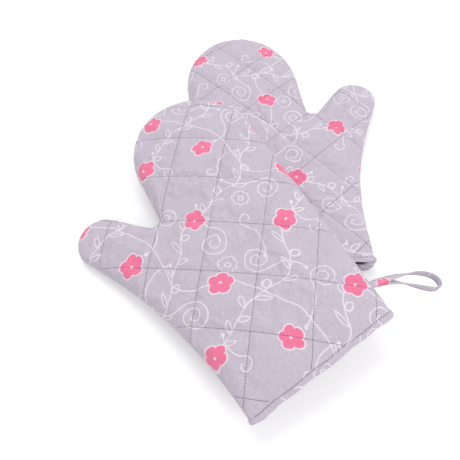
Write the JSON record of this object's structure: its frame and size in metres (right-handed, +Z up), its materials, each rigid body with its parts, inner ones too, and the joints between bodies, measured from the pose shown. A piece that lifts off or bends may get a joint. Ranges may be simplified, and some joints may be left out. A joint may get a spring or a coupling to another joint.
{
  "type": "pair of oven mitts",
  "caption": "Two quilted cotton oven mitts lying one partly over the other, each with a thumb, a bound cuff and a sewn hanging loop.",
  "frame": {"origin": "centre of the pair's box in plan, on the surface that the lower mitt's palm lies on", "axes": "+Y from the cuffs towards the finger ends, +X to the right as the picture sees the pair, +Z up from the table"},
  "size_m": [0.3126, 0.4354, 0.0508],
  "materials": {
    "printed cotton": "matt woven cotton",
    "polyester wadding": "soft fibre wadding",
    "lining cotton": "matt plain cotton"
  },
  "bodies": {
    "left_mitt": {"left_back_outer_panel": "printed cotton", "left_back_wadding": "polyester wadding", "left_back_lining": "lining cotton", "left_palm_outer_panel": "printed cotton", "left_palm_wadding": "polyester wadding", "left_palm_lining": "lining cotton", "left_cuff_binding": "printed cotton"},
    "left_loop": {"left_hanging_loop": "printed cotton"},
    "right_mitt": {"right_back_outer_panel": "printed cotton", "right_back_wadding": "polyester wadding", "right_back_lining": "lining cotton", "right_palm_outer_panel": "printed cotton", "right_palm_wadding": "polyester wadding", "right_palm_lining": "lining cotton", "right_cuff_binding": "printed cotton"},
    "right_loop": {"right_hanging_loop": "printed cotton"}
  },
  "joints": [
    {"name": "right_mitt_lift", "type": "slide", "parent": "left_mitt", "child": "right_mitt", "axis": [0, 0, 1], "range_m": [0, 0.15]},
    {"name": "right_loop_swing", "type": "hinge", "parent": "right_mitt", "child": "right_loop", "pos_m": [0.09284, -0.11477, 0.04196], "axis": [0.4588, -0.8879, 0.0348], "range_deg": [-18, 110]},
    {"name": "left_loop_swing", "type": "hinge", "parent": "left_mitt", "child": "left_loop", "pos_m": [-0.04019, -0.05987, 0.01015], "axis": [-0.1461, 0.9893, 0], "range_deg": [-2, 13]}
  ]
}
